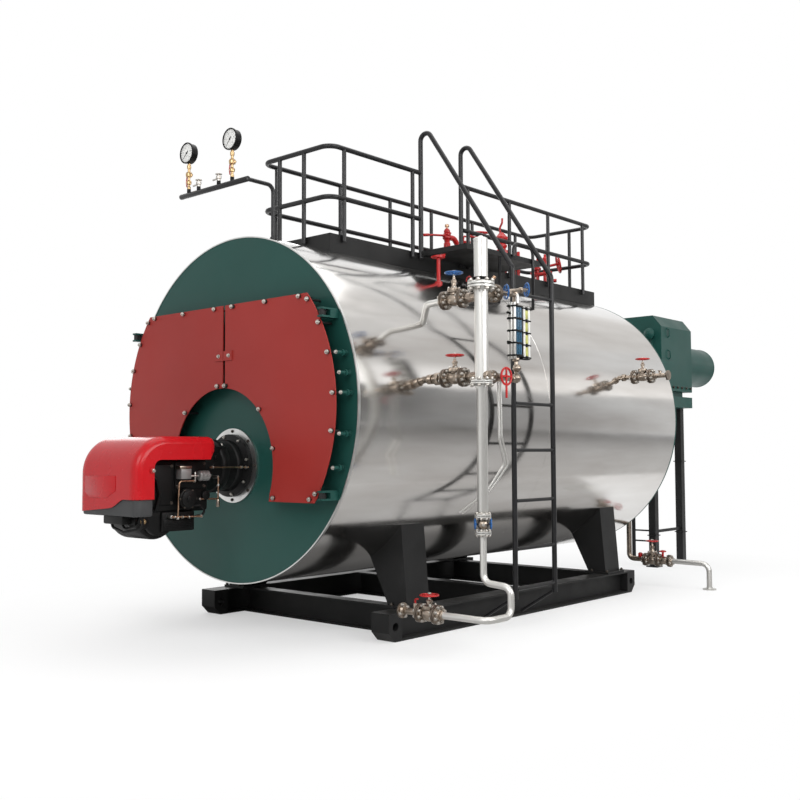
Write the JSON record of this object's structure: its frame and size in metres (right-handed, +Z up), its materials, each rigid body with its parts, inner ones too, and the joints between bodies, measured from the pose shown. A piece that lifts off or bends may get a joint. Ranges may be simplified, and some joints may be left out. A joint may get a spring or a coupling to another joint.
{
  "type": "industrial boiler",
  "caption": "Horizontal fire-tube steam boiler on a skid, with burner, smoke box doors, railed crown platform and rear flue box.",
  "frame": {"origin": "middle of the skid on the floor", "axes": "+X towards the ladder side, +Y from the burner to the flue duct, +Z up"},
  "size_m": [3.0908, 8.2963, 3.7803],
  "materials": {
    "skid_black": "satin black paint",
    "stainless_casing": "polished thin stainless sheet",
    "plate_green": "satin dark green paint",
    "boiler_steel": "dull fire-side steel",
    "door_red": "satin brick red paint",
    "door_steel": "dark heat-proof paint",
    "clamp_green": "dark green enamel",
    "burner_red": "glossy red cover",
    "burner_dark": "dark grey casting",
    "pipe_black": "black painted pipe",
    "brass": "machined brass",
    "gauge_case": "black gauge case with a white dial",
    "rail_black": "satin black paint on steel tube",
    "pipe_steel": "stainless pipe",
    "valve_bronze": "brownish machined valve steel",
    "valve_red": "red enamel on cast valves",
    "gauge_frame": "dark gauge frame",
    "flue_green": "satin dark green paint",
    "wheel_red": "red enamel",
    "wheel_blue": "blue enamel"
  },
  "bodies": {
    "boiler": {"blowdown_line": "valve_bronze", "burner_hood": "burner_red", "burner_housing": "burner_dark", "burner_motor": "burner_dark", "burner_ring": "plate_green", "burner_tube": "burner_dark", "column_tail": "pipe_steel", "crown_fittings": "valve_red", "deck_boards": "rail_black", "deck_plate": "rail_black", "door_clamps": "clamp_green", "drain_valve": "valve_bronze", "drum_casing": "stainless_casing", "feed_line": "valve_bronze", "flue_box": "flue_green", "flue_box_base": "flue_green", "flue_box_drain": "skid_black", "flue_connector": "flue_green", "flue_duct": "flue_green", "front_plate": "plate_green", "front_trim_ring": "stainless_casing", "furnace_tube": "boiler_steel", "gauge_cocks": "brass", "gauge_header": "pipe_black", "hinge_lugs": "clamp_green", "ladder_braces": "rail_black", "ladder_rungs": "rail_black", "ladder_stiles": "rail_black", "landing_plate": "rail_black", "landing_struts": "rail_black", "level_column": "pipe_steel", "level_gauge": "gauge_frame", "lower_branch": "valve_bronze", "pressure_gauges": "gauge_case", "rail_front_end": "rail_black", "rail_left_side": "rail_black", "rail_rear_end": "rail_black", "rail_right_front": "rail_black", "rail_right_rear": "rail_black", "rear_plate": "plate_green", "rear_posts": "skid_black", "rear_ties": "skid_black", "saddle_front": "skid_black", "saddle_rear": "skid_black", "skid_cross_beams": "skid_black", "skid_runner_left": "skid_black", "skid_runner_right": "skid_black", "tube_plate": "boiler_steel", "upper_branch": "valve_bronze"},
    "door_right": {"door_cover_right": "door_red", "door_body_right": "door_steel"},
    "door_left": {"door_cover_left": "door_red", "door_body_left": "door_steel"},
    "upper_wheel": {"wheel_upper_branch": "wheel_blue"},
    "lower_wheel": {"wheel_lower_branch": "wheel_red"},
    "drain_wheel": {"wheel_drain": "wheel_red"},
    "feed_wheel": {"wheel_feed": "wheel_red"},
    "blowdown_wheel": {"wheel_blowdown": "wheel_red"}
  },
  "joints": [
    {"name": "door_right_hinge", "type": "hinge", "parent": "boiler", "child": "door_right", "pos_m": [0.99964, -2.275, 1.56], "axis": [0, 0, 1], "range_deg": [0, 100]},
    {"name": "door_left_hinge", "type": "hinge", "parent": "boiler", "child": "door_left", "pos_m": [-0.99964, -2.275, 1.56], "axis": [0, 0, -1], "range_deg": [0, 100]},
    {"name": "upper_wheel_turn", "type": "hinge", "parent": "boiler", "child": "upper_wheel", "pos_m": [1.443, -1.51, 2.422], "axis": [0, 0, 1], "continuous": true},
    {"name": "lower_wheel_turn", "type": "hinge", "parent": "boiler", "child": "lower_wheel", "pos_m": [1.446, -1.51, 1.883], "axis": [0, 0, 1], "continuous": true},
    {"name": "drain_wheel_turn", "type": "hinge", "parent": "boiler", "child": "drain_wheel", "pos_m": [1.42, -1.75, 0.365], "axis": [0, 0, 1], "continuous": true},
    {"name": "feed_wheel_turn", "type": "hinge", "parent": "boiler", "child": "feed_wheel", "pos_m": [1.375, 1.155, 2.045], "axis": [0, 0, 1], "continuous": true},
    {"name": "blowdown_wheel_turn", "type": "hinge", "parent": "boiler", "child": "blowdown_wheel", "pos_m": [0.9, 2.181, 0.411], "axis": [0, 0, 1], "continuous": true}
  ]
}
